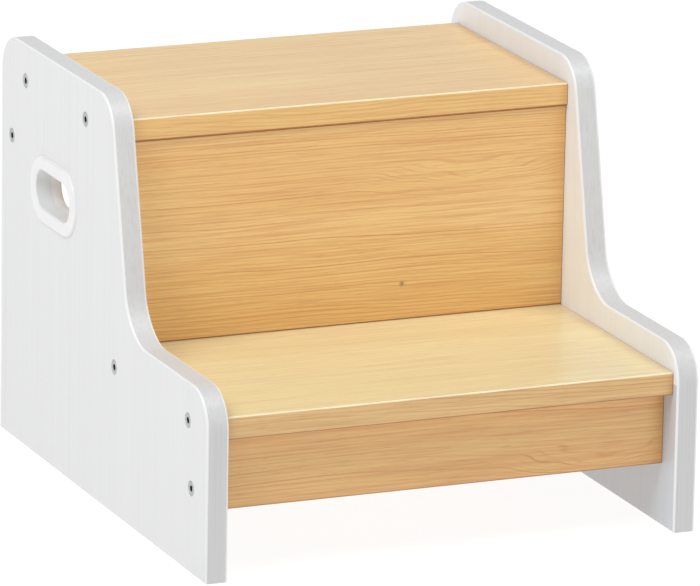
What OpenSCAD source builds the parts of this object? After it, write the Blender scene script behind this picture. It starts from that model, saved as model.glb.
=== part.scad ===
// Two-step wooden step stool: white side panels, natural wood treads, moulded hand grips.
// Origin: middle of the footprint on the floor. +X to the stool's right-hand panel, +Y to the
// rear, +Z up. The user steps on from -Y. All sizes are in millimetres.

/* [Overall] */
// Width over both side panels
overall_w = 347; // [300:1:420]
// Depth of a side panel at the floor
overall_d = 380; // [360:1:420]
// Height of the side panels
overall_h = 280; // [275:1:300]
// Thickness of every board
board_t = 15.5; // [15:0.5:18]

/* [Side panels] */
// Height of the panel's lower step
step_h = 126; // [120:1:135]
// Depth of the lower step, measured to the foot of the slanting edge
step_d = 140.5; // [135:0.5:145]
// Lean of the slanting edge from the vertical, in degrees
slant_lean = 12.7; // [8:0.1:14]
// Radius of the four outward corners
corner_r = 25.5; // [15:0.5:30]
// Radius of the inward corner over the lower step
hollow_r = 38; // [20:1:45]

/* [Treads and rails] */
// Height of the lower tread's top face
lower_tread_h = 108.5; // [105:0.5:112]
// Height of the upper tread's top face
upper_tread_h = 263; // [258:0.5:265]
// Setback of the lower tread from the panel's front edge
lower_tread_front = 6; // [2:0.5:10]
// Setback of the upper tread from the panel's front edge
upper_tread_front = 182; // [178:0.5:186]
// Depth of the upper tread
upper_tread_d = 187; // [180:0.5:190]
// Overhang of the upper tread in front of the riser
riser_nosing = 2; // [0:0.5:6]
// Setback of the front apron from the panel's front edge
apron_front = 19.5; // [16:0.5:24]
// Overhang of the upper tread behind the rear rail
rail_nosing = 3; // [0:0.5:8]
// Height of the front apron and of the rear rail
rail_h = 50.5; // [45:0.5:60]
// Rounding of the boards' long edges
board_edge_r = 1; // [0.5:0.25:2]

/* [Hand grips] */
// Distance from the panel's front edge to the middle of the grip
grip_back = 277.5; // [270:0.5:285]
// Height of the middle of the grip
grip_h = 189; // [180:1:195]
// Length of the hand opening
grip_open_l = 64; // [55:1:80]
// Height of the hand opening
grip_open_h = 26.5; // [22:0.5:30]
// Width of the rim round the opening
rim_w = 10; // [7:0.5:12]
// How far the rim stands out of the panel
rim_t = 2; // [1.5:0.1:3]
// Rounding of the rim
rim_round = 1.2; // [0.4:0.1:1.4]
// Wall thickness of the sleeve inside the panel
sleeve_t = 2.6; // [2:0.1:3.5]

/* [Screws and dowels] */
// Diameter of the screw head
head_d = 10; // [9:0.5:11]
// Outer diameter of the screw thread
thread_d = 7; // [6:0.1:7]
// Length of a screw
screw_l = 50; // [40:1:50]
// Hexagon socket, across the flats
socket_af = 4; // [3:0.5:5]
// Screw position behind a tread's front edge, lower tread
lower_screw_front = 27; // [20:0.5:45]
// Screw position behind a tread's front edge, upper tread
upper_screw_front = 39; // [25:0.5:50]
// Screw position in front of a tread's rear edge
tread_screw_rear = 35; // [25:0.5:45]
// Screw position behind the outer face of the apron or rail
rail_screw_in = 6.5; // [5.5:0.25:8]
// Screw position above the lower edge of the apron or rail
rail_screw_up = 14.5; // [12:0.5:20]
// Diameter of a dowel
dowel_d = 8; // [6:0.5:8]
// Length of a dowel
dowel_l = 30; // [25:1:35]

/* [Hidden] */
$fn = 64;

// Main planes of the stool
inner_w = overall_w - 2 * board_t;
front_y = -overall_d / 2;
rear_y = overall_d / 2;
lower_under = lower_tread_h - board_t;
upper_under = upper_tread_h - board_t;
lower_front_y = front_y + lower_tread_front;
upper_front_y = front_y + upper_tread_front;
upper_rear_y = upper_front_y + upper_tread_d;
riser_front_y = upper_front_y + riser_nosing;
riser_rear_y = riser_front_y + board_t;
lower_tread_d = riser_rear_y - lower_front_y;
apron_front_y = front_y + apron_front;
apron_z = lower_under - rail_h;
rail_rear_y = upper_rear_y - rail_nosing;
rail_z = upper_under - rail_h;
slant_foot_y = front_y + step_d;
slant_head_y = slant_foot_y + (overall_h - step_h) * tan(slant_lean);

// Side outline, [y, z, radius], clockwise seen from +X; the inward corner has a negative radius
side_corners = [
    [front_y, 0, 0],
    [front_y, step_h, corner_r],
    [slant_foot_y, step_h, -hollow_r],
    [slant_head_y, overall_h, corner_r],
    [rear_y, overall_h, corner_r],
    [rear_y, 0, 0]
];
side_count = len(side_corners);
arc_steps = 20;

// Screw: head, plain shank, then a coarse thread on a core
head_flat = 1;
shank_l = 12;
thread_pitch = 3;
core_d = 5;
crest_l = 0.4;
tip_l = 3;
socket_depth = 3;
thread_turns = floor((screw_l - shank_l - tip_l) / thread_pitch);

// Holes are this much wider than the screw or dowel in them, and this much deeper
hole_play = 0.1;
end_play = 0.5;
cut = 1;

// Dowel: length sunk into a panel or tread, flutes and bevelled ends
dowel_sunk = 10;
flute_count = 10;
flute_r = 0.45;
dowel_bevel = 1;

// Grip: the two halves lap inside the panel
grip_y = front_y + grip_back;
open_r = grip_open_h / 2;
grip_straight = grip_open_l - grip_open_h;
lap_l = 2;
grip_play = 0.1;

// Where the screws go into the panel: [name, y, z]
rail_screw_y = rail_rear_y - rail_screw_in;
screw_places = [
    ["apron", apron_front_y + rail_screw_in, apron_z + rail_screw_up],
    ["lower_tread_front", lower_front_y + lower_screw_front, lower_under + board_t / 2],
    ["lower_tread_rear", riser_rear_y - tread_screw_rear, lower_under + board_t / 2],
    ["upper_tread_front", upper_front_y + upper_screw_front, upper_under + board_t / 2],
    ["upper_tread_rear", upper_rear_y - tread_screw_rear, upper_under + board_t / 2],
    ["rear_rail", rail_screw_y, rail_z + rail_screw_up]
];

// Where the dowels go into the panel: [name, y, z]
riser_mid_y = riser_front_y + board_t / 2;
riser_h = upper_under - lower_tread_h;
side_dowels = [
    ["apron", apron_front_y + board_t / 2, apron_z + rail_h - rail_screw_up],
    ["riser_low", riser_mid_y, lower_tread_h + riser_h / 4],
    ["riser_high", riser_mid_y, upper_under - riser_h / 4],
    ["rear_rail", rail_rear_y - board_t / 2, rail_z + rail_h - rail_screw_up]
];

// Upright dowels between the riser and the treads: [name, z where riser and tread meet, way into the riser]
tread_dowels = [
    ["lower_tread", lower_tread_h, 1],
    ["upper_tread", upper_under, -1]
];
tread_dowel_x = inner_w / 4;

SIDES = ["left", "right"];
HALVES = ["outer", "inner"];
BOARDS = [
    "side_panel_left", "side_panel_right",
    "lower_tread", "upper_tread", "riser", "front_apron", "rear_rail"
];

paint_white = "#f2f1ef";
wood_light = "#e6c48d";
wood_mid = "#ddb074";
wood_dark = "#cf9a62";
grip_white = "#f8f8f7";
steel_grey = "#a9abad";
beech = "#d8b688";

// ---- Geometry of a rounded outline ----

function unit(v) = v / norm(v);
function corner(i) = [side_corners[i % side_count][0], side_corners[i % side_count][1]];
function radius(i) = abs(side_corners[i][2]);
function inward(i) = side_corners[i][2] < 0;
function to_last(i) = unit(corner(i + side_count - 1) - corner(i));
function to_next(i) = unit(corner(i + 1) - corner(i));
function half_angle(i) = acos(to_last(i) * to_next(i)) / 2;
function round_start(i) = corner(i) + to_last(i) * radius(i) / tan(half_angle(i));
function round_centre(i) = corner(i)
    + unit(to_last(i) + to_next(i)) * radius(i) / sin(half_angle(i));

// Corner i as points: one where it is sharp, an arc where it is round
function rounded(i) = radius(i) == 0 ? [corner(i)] : let (
    middle = round_centre(i),
    out = round_start(i) - middle,
    first = atan2(out[1], out[0]),
    turn = (inward(i) ? 1 : -1) * (180 - 2 * half_angle(i))
) [
    for (k = [0 : arc_steps]) let (angle = first + turn * k / arc_steps)
        middle + radius(i) * [cos(angle), sin(angle)]
];

// Side view of a panel, y across and z up
module side_outline() {
    polygon([for (i = [0 : side_count - 1]) each rounded(i)]);
}

// Stands a shape drawn as (y, z) up and gives it a length along +X
module along_x(length) {
    rotate([90, 0, 90]) linear_extrude(length) children();
}

// Board with rounded long edges, drawn as (y, z) from its lower front edge
module board_section(depth, height) {
    r = board_edge_r;
    translate([r, 0]) square([depth - 2 * r, height]);
    translate([0, r]) square([depth, height - 2 * r]);
    for (y = [r, depth - r], z = [r, height - r]) translate([y, z]) circle(r = r);
}

module board(front, under, depth, height) {
    translate([-inner_w / 2, front, under]) along_x(inner_w) board_section(depth, height);
}

// Draws the right-hand piece, or its mirror image for the left
module on_side(side) {
    if (side == "left") mirror([1, 0, 0]) children();
    else children();
}

// ---- Holes ----

module screw_hole_in_panel() {
    taper_l = (head_d - thread_d) / 2;
    rotate([0, 90, 0]) {
        translate([0, 0, -board_t - cut]) cylinder(d = thread_d + hole_play, h = board_t + 2 * cut);
        translate([0, 0, -head_flat - taper_l])
            cylinder(d1 = thread_d + hole_play, d2 = head_d + hole_play, h = taper_l);
        translate([0, 0, -head_flat]) cylinder(d = head_d + hole_play, h = head_flat + cut);
    }
}

// Holes in a board's end, bored inwards from its right-hand end face
module end_hole(place, diameter, depth) {
    translate([inner_w / 2 - depth, place[1], place[2]])
        rotate([0, 90, 0]) cylinder(d = diameter + hole_play, h = depth + cut);
}

module end_holes(screws, dowels) {
    for (side = SIDES) on_side(side) {
        for (i = screws) end_hole(screw_places[i], thread_d, screw_l - board_t + end_play);
        for (i = dowels) end_hole(side_dowels[i], dowel_d, dowel_l - dowel_sunk + end_play);
    }
}

// Upright hole that starts at height z and runs up (way = 1) or down (way = -1)
module upright_holes(z, way, depth) {
    for (x = [-tread_dowel_x, tread_dowel_x])
        translate([x, riser_mid_y, way > 0 ? z - cut : z - depth])
            cylinder(d = dowel_d + hole_play, h = depth + cut);
}

// ---- Boards ----

module side_panel(side) {
    color(paint_white) on_side(side) difference() {
        translate([inner_w / 2, 0, 0]) along_x(board_t) side_outline();
        for (p = screw_places) translate([overall_w / 2, p[1], p[2]]) screw_hole_in_panel();
        for (p = side_dowels)
            translate([inner_w / 2 - cut, p[1], p[2]]) rotate([0, 90, 0])
                cylinder(d = dowel_d + hole_play, h = dowel_sunk + end_play + cut);
        translate([inner_w / 2 - cut, grip_y, grip_h])
            along_x(board_t + 2 * cut) stadium(open_r + sleeve_t + grip_play);
    }
}

module lower_tread() {
    color(wood_light) difference() {
        board(lower_front_y, lower_under, lower_tread_d, board_t);
        end_holes([1, 2], []);
        upright_holes(lower_tread_h, -1, dowel_sunk + end_play);
    }
}

module upper_tread() {
    color(wood_light) difference() {
        board(upper_front_y, upper_under, upper_tread_d, board_t);
        end_holes([3, 4], []);
        upright_holes(upper_under, 1, dowel_sunk + end_play);
    }
}

module riser() {
    riser_hole_depth = dowel_l - dowel_sunk + end_play;
    color(wood_mid) difference() {
        board(riser_front_y, lower_tread_h, board_t, riser_h);
        end_holes([], [1, 2]);
        upright_holes(lower_tread_h, 1, riser_hole_depth);
        upright_holes(upper_under, -1, riser_hole_depth);
    }
}

module front_apron() {
    color(wood_dark) difference() {
        board(apron_front_y, apron_z, board_t, rail_h);
        end_holes([0], [0]);
    }
}

module rear_rail() {
    color(wood_dark) difference() {
        board(rail_rear_y - board_t, rail_z, board_t, rail_h);
        end_holes([5], [3]);
    }
}

// ---- Hand grips ----

// Long round-ended shape, centred, its straight part along the first axis
module stadium(r) {
    square([grip_straight, 2 * r], center = true);
    for (e = [-1, 1]) translate([e * grip_straight / 2, 0]) circle(r = r);
}

// Carries a cross-section, drawn as (distance from the centre line, height), round the stadium
module round_stadium() {
    for (e = [-1, 1]) {
        translate([e * grip_straight / 2, 0, 0]) rotate([0, 0, -90 * e])
            rotate_extrude(angle = 180) children();
        translate([-e * grip_straight / 2, 0, 0]) rotate([90, 0, 90 * e])
            linear_extrude(grip_straight) children();
    }
}

// Rim and sleeve of one half; height 0 is the panel's face and the sleeve runs down into it
module grip_section(lap_inside) {
    c = rim_round;
    half_lap = sleeve_t / 2 - grip_play / 2;
    sleeve_l = board_t / 2;
    translate([open_r, 0]) square([rim_w, rim_t - c]);
    translate([open_r + c, 0]) square([rim_w - 2 * c, rim_t]);
    for (x = [open_r + c, open_r + rim_w - c]) translate([x, rim_t - c]) circle(r = c);
    translate([open_r, lap_l - sleeve_l]) square([sleeve_t, sleeve_l - lap_l + cut]);
    translate([open_r + (lap_inside ? 0 : sleeve_t - half_lap), grip_play / 2 - sleeve_l - lap_l])
        square([half_lap, 2 * lap_l + cut]);
}

module grip_half(side, half) {
    outer = half == "outer";
    face_x = outer ? overall_w / 2 : inner_w / 2;
    color(grip_white) on_side(side)
        translate([face_x, grip_y, grip_h]) mirror([outer ? 0 : 1, 0, 0])
            rotate([90, 0, 90]) round_stadium() grip_section(outer);
}

// ---- Fasteners ----

// Half section of a screw, (radius, height), its head's face at height 0
function screw_section() = let (
    taper_l = (head_d - thread_d) / 2,
    groove = (thread_pitch - crest_l) / 2
) concat(
    [[0, 0], [head_d / 2, 0], [head_d / 2, -head_flat]],
    [[thread_d / 2, -head_flat - taper_l], [thread_d / 2, -shank_l]],
    [for (k = [0 : thread_turns - 1], step = [0 : 2]) let (z = -shank_l - k * thread_pitch)
        step == 0 ? [core_d / 2, z - groove]
        : step == 1 ? [thread_d / 2, z - 2 * groove]
        : [thread_d / 2, z - thread_pitch]],
    [[core_d / 2, -screw_l + tip_l], [core_d / 4, -screw_l], [0, -screw_l]]
);

module screw(side, place) {
    color(steel_grey) on_side(side)
        translate([overall_w / 2, place[1], place[2]]) rotate([0, 90, 0]) difference() {
            rotate_extrude() polygon(screw_section());
            translate([0, 0, -socket_depth])
                cylinder(d = socket_af / cos(30), h = socket_depth + cut, $fn = 6);
        }
}

// Fluted dowel with bevelled ends, lying along +Z from 0
module dowel() {
    b = dowel_bevel;
    r = dowel_d / 2;
    intersection() {
        linear_extrude(dowel_l) difference() {
            circle(r = r);
            for (k = [0 : flute_count - 1])
                rotate(k * 360 / flute_count) translate([r, 0]) circle(r = flute_r, $fn = 16);
        }
        rotate_extrude()
            polygon([[0, 0], [r - b, 0], [r, b], [r, dowel_l - b], [r - b, dowel_l], [0, dowel_l]]);
    }
}

module side_dowel(side, place) {
    color(beech) on_side(side)
        translate([inner_w / 2 + dowel_sunk - dowel_l, place[1], place[2]])
            rotate([0, 90, 0]) dowel();
}

module tread_dowel(side, place) {
    color(beech) on_side(side)
        translate([tread_dowel_x, riser_mid_y, place[1] - place[2] * dowel_sunk])
            mirror([0, 0, place[2] > 0 ? 0 : 1]) dowel();
}

// ---- Assembly ----

side_panel("left");  // side_panel_left
side_panel("right");  // side_panel_right
lower_tread();
upper_tread();
riser();
front_apron();
rear_rail();
for (s = SIDES, h = HALVES)
    grip_half(s, h);
for (s = SIDES, p = screw_places)
    screw(s, p);
for (s = SIDES, p = side_dowels)
    side_dowel(s, p);
for (s = SIDES, p = tread_dowels)
    tread_dowel(s, p);
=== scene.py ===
"""Two-step stool: finished pieces and materials, built around the stool's own frame."""

from math import cos, hypot, pi, radians, sin, tan

import bmesh
import bpy
from bpy.props import FloatProperty, FloatVectorProperty, IntProperty, PointerProperty
from mathutils import Matrix, Vector


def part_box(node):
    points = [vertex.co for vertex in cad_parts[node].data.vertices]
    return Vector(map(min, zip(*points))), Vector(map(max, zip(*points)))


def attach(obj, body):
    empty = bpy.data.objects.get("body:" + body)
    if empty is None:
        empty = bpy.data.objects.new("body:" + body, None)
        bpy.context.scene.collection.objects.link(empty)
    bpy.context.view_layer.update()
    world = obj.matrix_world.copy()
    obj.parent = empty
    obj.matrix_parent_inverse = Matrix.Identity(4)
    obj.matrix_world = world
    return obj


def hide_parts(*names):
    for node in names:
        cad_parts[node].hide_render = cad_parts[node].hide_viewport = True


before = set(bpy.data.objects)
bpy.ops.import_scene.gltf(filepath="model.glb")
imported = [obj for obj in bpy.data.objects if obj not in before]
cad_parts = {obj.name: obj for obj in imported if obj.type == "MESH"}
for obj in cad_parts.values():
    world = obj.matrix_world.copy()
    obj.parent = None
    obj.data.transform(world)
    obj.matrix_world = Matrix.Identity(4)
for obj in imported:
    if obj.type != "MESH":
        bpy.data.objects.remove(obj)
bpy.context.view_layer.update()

bl_info = {
    "name": "Step Stool Workshop",
    "version": (1, 0, 0),
    "blender": (4, 5, 0),
    "location": "View3D > Sidebar > Stool",
    "description": "Builds the boards, hand grips, screws and finishes of a two-step stool",
    "category": "Add Mesh",
}

MM = 0.001
NUDGE = 0.02 * MM  # two places nearer than this are the same place
SIDEWAYS = 0.02  # a face whose normal has less than this along an axis looks across it
SQUARE_ON = 0.995  # a face whose normal has more than this along an axis looks along it
MIX_SHARE, MIX_FIRST, MIX_SECOND, MIX_RESULT = 0, 6, 7, 2  # a Mix node's colour sockets
SIDES = {"left": -1, "right": 1}
SCREW_PLACES = (
    "apron", "lower_tread_front", "lower_tread_rear",
    "upper_tread_front", "upper_tread_rear", "rear_rail",
)
SIDE_DOWELS = ("apron", "riser_low", "riser_high", "rear_rail")
TREAD_DOWELS = ("lower_tread", "upper_tread")
AXES = {"X": Vector((1, 0, 0)), "Y": Vector((0, 1, 0)), "Z": Vector((0, 0, 1))}
AREA_LIGHTS = (  # name, which setting has its power, place and size in metres
    ("key_light", "key", (-1.85, -0.62, 2.45), (1.5, 1.5)),
    ("top_light", "top", (1.05, -0.75, 2.75), (1.2, 1.2)),
    ("fill_light", "fill", (0.60, -2.80, 1.10), (1.6, 1.2)),
    ("back_light", "back", (1.00, 2.60, 1.00), (3.0, 2.0)),
)
LIGHTS_AIM = Vector((0, 0, 0.12))


# ---------------------------------------------------------------- settings

def length(name, description, millimetres):
    return FloatProperty(
        name=name, description=description, default=millimetres * MM,
        min=0.0, unit="LENGTH", precision=4,
    )


def share(name, description, value):
    return FloatProperty(
        name=name, description=description, default=value, min=0.0, max=1.0, subtype="FACTOR",
    )


def strength(name, description, value):
    return FloatProperty(name=name, description=description, default=value, min=0.0)


def watts(name, description, value):
    return FloatProperty(name=name, description=description, default=value, min=0.0, unit="POWER")


def colour(name, description, value):
    return FloatVectorProperty(
        name=name, description=description, default=value,
        min=0.0, max=1.0, size=3, subtype="COLOR",
    )


class StoolShape(bpy.types.PropertyGroup):
    """Sizes of the pieces that the frame's boxes don't give."""

    step_height: length("Step height", "Height of a side panel's lower step", 126)
    step_depth: length("Step depth", "Depth of the lower step to the foot of the slant", 140.5)
    slant_lean: FloatProperty(
        name="Slant", description="Lean of the slanting edge from the vertical",
        default=radians(12.7), unit="ROTATION",
    )
    corner_radius: length("Corner radius", "Radius of the panel's outward corners", 25.5)
    hollow_radius: length("Hollow radius", "Radius of the inward corner over the step", 38)
    corner_steps: IntProperty(
        name="Corner steps", description="Facets in each rounded corner", default=24, min=4,
    )
    panel_arris: length("Panel arris", "Rounding of a panel's edges", 1.5)
    board_arris: length("Board arris", "Rounding of a board's long edges", 1.0)
    end_arris: length("End arris", "Easing of a board's end against the panel", 0.5)
    grip_length: length("Grip opening length", "Length of the hand opening", 64)
    grip_height: length("Grip opening height", "Height of the hand opening", 26.5)
    rim_width: length("Rim width", "Width of the rim round the hand opening", 10)
    rim_height: length("Rim height", "How far the rim stands out of the panel", 2)
    sleeve_wall: length("Sleeve wall", "Wall of the sleeve inside the panel", 2.6)
    thread_diameter: length("Thread diameter", "Outer diameter of the screw thread", 7)
    core_diameter: length("Core diameter", "Diameter of the screw under its thread", 5)
    socket_width: length("Socket width", "Hexagon socket across its flats", 4)
    socket_depth: length("Socket depth", "Depth of the hexagon socket", 3)
    thread_pitch: length("Thread pitch", "Distance between two turns of the thread", 3)


class StoolFinish(bpy.types.PropertyGroup):
    """Colours and sheen of the finishes.

    The bluish whites make up for the warm light that the wood throws on them: painted light. Several
    other colours below are painted highlights and painted shade as well.
    """

    paint: colour("Paint", "White paint on the panels' outer faces", (0.800, 0.802, 0.806))
    # Painted light: the inner faces are brighter and bluer than the outer faces, standing in for light
    # and cancelling the warm bounce from the wood.
    paint_inner_lit: colour("Paint, inner", "Bluish paint on the inner faces", (0.895, 0.940, 1.000))
    # Painted shade: the inner faces are darker below the treads.
    paint_under_shade: colour("Paint, under", "Darker paint below the treads", (0.615, 0.655, 0.700))
    # Painted shade: the edge faces are a darker copy of the white paint.
    paint_edge_shade: colour("Paint, edges", "Darker paint on the edges", (0.650, 0.652, 0.656))
    # Painted highlight: the arrises are a lighter copy of the white paint.
    paint_arris_highlight: colour("Paint, arrises", "Lighter paint on the arrises", (0.864, 0.866, 0.870))
    paint_roughness: share("Paint roughness", "Roughness of the paint", 0.42)
    wood_pale: colour("Wood, pale", "Pale early wood", (0.950, 0.575, 0.205))
    wood_mid: colour("Wood, middle", "Middle tone of the wood", (0.900, 0.515, 0.165))
    wood_dark: colour("Wood, dark", "Late wood in the growth lines", (0.700, 0.272, 0.078))
    # Painted shade: the boards' eased edges are darkened in the joints.
    arris_dark: colour("Arris, dark", "Board edges in the joints", (0.480, 0.210, 0.065))
    # Painted highlight: the treads' upper edges are pale cream.
    arris_pale: colour("Arris, pale", "Worn upper edges of the treads", (0.960, 0.800, 0.500))
    pore: colour("Pores", "Fine dark pore lines", (0.330, 0.150, 0.055))
    lacquer_roughness: share("Lacquer roughness", "Roughness of the clear lacquer", 0.20)
    grip: colour("Grips", "White moulded plastic", (0.870, 0.872, 0.872))
    # Painted light: the inner grip halves are bluish to cancel the warm bounce from the wood.
    grip_inner_light_tint: colour("Grips, inner", "Bluish plastic of the inner halves", (0.880, 0.935, 0.980))
    # Painted shade: the sleeves lining the hand openings are darker and bluish.
    grip_sleeve_shade: colour("Grips, sleeve", "Darker plastic in the outer sleeves", (0.775, 0.826, 0.853))
    steel: colour("Screws", "Plated steel", (0.560, 0.565, 0.575))
    # Painted shade: the screws' sockets are near-black.
    socket: colour("Sockets", "Blackened inside of a screw's socket", (0.012, 0.012, 0.013))
    dowel: colour("Dowels", "Bare hardwood", (0.620, 0.420, 0.220))


class StoolStage(bpy.types.PropertyGroup):
    """Camera, floor and lights."""

    lens: FloatProperty(
        name="Lens", description="Focal length in millimetres",
        default=375.5, subtype="DISTANCE_CAMERA",
    )
    azimuth: FloatProperty(
        name="Azimuth", description="Turn of the view round the stool",
        default=radians(-23.125), unit="ROTATION",
    )
    elevation: FloatProperty(
        name="Elevation", description="Height of the view above the horizon",
        default=radians(15.334), unit="ROTATION",
    )
    roll: FloatProperty(
        name="Roll", description="Turn of the picture about its middle",
        default=radians(1.044), unit="ROTATION",
    )
    distance: FloatProperty(
        name="Distance", description="From the camera to the point it looks at",
        default=4.8825, unit="LENGTH",
    )
    target_height: length("Target height", "Height of the point the camera looks at", 128.5)
    target_side: length("Target side", "How far that point is to the right", 5)
    floor: colour("Floor", "Plain pale floor", (0.12, 0.12, 0.12))
    glow: strength("Floor glow", "Strength of the lit floor", 0.90)
    sky: strength("Sky", "Strength of the even light", 0.40)
    key: watts("Key light", "Power of the main soft light", 45)
    top: watts("Top light", "Power of the light above", 27)
    fill: watts("Fill light", "Power of the front light", 6)
    back: watts("Back light", "Power of the low rear light", 5)


def settings():
    """The stool's shape, finish and stage."""
    scene = bpy.context.scene
    return scene.stool_shape, scene.stool_finish, scene.stool_stage


# ---------------------------------------------------------------- handling the pieces

def clear_selection():
    """Leaves edit mode and selects nothing."""
    if bpy.context.object and bpy.context.object.mode != "OBJECT":
        bpy.ops.object.mode_set(mode="OBJECT")
    bpy.ops.object.select_all(action="DESELECT")


def take_up(piece):
    """Makes a piece the only selected one."""
    clear_selection()
    piece.select_set(True)
    bpy.context.view_layer.objects.active = piece


def edit(piece):
    """Opens a piece in edit mode."""
    take_up(piece)
    bpy.ops.object.mode_set(mode="EDIT")


def put_down():
    """Closes the piece that is open in edit mode."""
    bpy.ops.object.mode_set(mode="OBJECT")


def settle():
    """Moves the active object's place into its mesh."""
    bpy.ops.object.transform_apply(location=True, rotation=True, scale=True)


def select_in(piece, kind, test):
    """Selects the open mesh's vertices, edges or faces that pass the test."""
    bpy.ops.mesh.select_mode(type=kind)
    bpy.ops.mesh.select_all(action="DESELECT")
    mesh = bmesh.from_edit_mesh(piece.data)
    parts = {"VERT": mesh.verts, "EDGE": mesh.edges, "FACE": mesh.faces}[kind]
    chosen = [part for part in parts if test(part)]
    if not chosen:
        raise RuntimeError(f"{piece.name} has nothing to select where it should be shaped")
    for part in chosen:
        part.select_set(True)
    mesh.select_flush_mode()
    bmesh.update_edit_mesh(piece.data)


def lies_at(part, axis, place):
    """True if all of an edge or face lies at one place along an axis."""
    return all(abs(v.co["XYZ".index(axis)] - place) < NUDGE for v in part.verts)


def runs_along(edge, axis):
    """True if an edge is parallel to an axis."""
    way = edge.verts[1].co - edge.verts[0].co
    return abs(way.dot(AXES[axis])) > 0.999 * way.length


def round_corner(piece, corner, run_out, steps):
    """Rounds the open outline at one of its corners, from run_out before it to run_out after."""
    select_in(piece, "VERT", lambda v: (v.co - corner).length < 10 * NUDGE)
    bpy.ops.mesh.bevel(offset=run_out, segments=steps, profile=0.5, affect="VERTICES")


def paint_selected(piece, slot):
    """Gives the open mesh's selected faces one of the piece's materials."""
    piece.active_material_index = slot
    bpy.ops.object.material_slot_assign()


def new_block(name, low, high):
    """A box between two opposite corners."""
    clear_selection()
    bpy.ops.mesh.primitive_cube_add(size=1, location=(low + high) / 2, scale=high - low)
    block = bpy.context.object
    block.name = name
    settle()
    return block


def new_sheet(name, low, high, turn):
    """An upright rectangle between two opposite corners, ready in edit mode."""
    clear_selection()
    centre = (low + high) / 2
    bpy.ops.mesh.primitive_plane_add(size=1, location=centre, rotation=turn)
    sheet = bpy.context.object
    sheet.name = name
    settle()
    edit(sheet)
    bpy.ops.mesh.select_all(action="SELECT")
    span = [reach if reach > NUDGE else 1 for reach in high - low]
    bpy.ops.transform.resize(value=span, center_override=centre)
    return sheet


def new_bar(name, start, end, radius, vertices=32):
    """A round bar from one point to another."""
    clear_selection()
    way = end - start
    turn = way.to_track_quat("Z", "Y").to_euler()
    bpy.ops.mesh.primitive_cylinder_add(
        vertices=vertices, radius=radius, depth=way.length, location=(start + end) / 2, rotation=turn,
    )
    bar = bpy.context.object
    bar.name = name
    settle()
    return bar


def cut_away(piece, cutters):
    """Takes all the cutters' shapes out of a piece."""
    take_up(cutters[0])
    for cutter in cutters[1:]:
        cutter.select_set(True)
    if len(cutters) > 1:
        bpy.ops.object.join()
    joined = bpy.context.object
    take_up(piece)
    modifier = piece.modifiers.new("cut", "BOOLEAN")
    modifier.operation = "DIFFERENCE"
    modifier.solver = "EXACT"
    modifier.object = joined
    bpy.ops.object.modifier_apply(modifier=modifier.name)
    bpy.data.objects.remove(joined)


def finish_surface(piece, angle=radians(35)):
    """Smooth shading that keeps the large faces flat."""
    take_up(piece)
    bpy.ops.object.shade_smooth_by_angle(angle=angle)
    modifier = piece.modifiers.new("flat_faces", "WEIGHTED_NORMAL")
    modifier.keep_sharp = True
    bpy.ops.object.modifier_apply(modifier=modifier.name)


def check_closed(piece):
    """Raises an error if a piece isn't a closed surface."""
    mesh = bmesh.new()
    mesh.from_mesh(piece.data)
    faults = sum(not edge.is_manifold for edge in mesh.edges)
    mesh.free()
    if faults or not piece.data.polygons:
        raise RuntimeError(f"{piece.name} isn't a closed piece: {faults} faulty edges")


def hand_over(piece, node):
    """Checks a finished piece, hangs it on the stool's body and hides the node that it stands for."""
    check_closed(piece)
    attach(piece, "root")
    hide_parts(node)


def middle(node):
    """The centre of a node's box."""
    low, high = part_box(node)
    return (low + high) / 2


# ---------------------------------------------------------------- holes that the pieces share

def screw_line(place, side):
    """Head and tip of a screw, as points on its axis."""
    low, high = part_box(f"screw_{place}_{side}")
    centre = (low + high) / 2
    outer, inner = (high.x, low.x) if side == "right" else (low.x, high.x)
    return Vector((outer, centre.y, centre.z)), Vector((inner, centre.y, centre.z))


def dowel_line(name):
    """The two ends of a dowel, as points on its axis."""
    low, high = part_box(name)
    centre = (low + high) / 2
    half = (high - low) / 2
    along = AXES["XYZ"[max(range(3), key=lambda k: half[k])]] * max(half)
    return centre - along, centre + along


def bores_for(screws, dowels):
    """Cutters for the screws and dowels that a board takes."""
    shape = settings()[0]
    spare = 0.5 * MM
    cutters = []
    for place, side in screws:
        head, tip = screw_line(place, side)
        radius = shape.thread_diameter / 2 + NUDGE
        cutters.append(new_bar("bore", head, tip + (tip - head).normalized() * spare, radius))
    for name in dowels:
        start, end = dowel_line(name)
        low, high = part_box(name)
        radius = sorted(high - low)[1] / 2 + NUDGE
        beyond = (end - start).normalized() * spare
        cutters.append(new_bar("bore", start - beyond, end + beyond, radius))
    return cutters


def both(names):
    """Each name paired with each side."""
    return [(name, side) for name in names for side in SIDES]


# ---------------------------------------------------------------- boards

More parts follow.
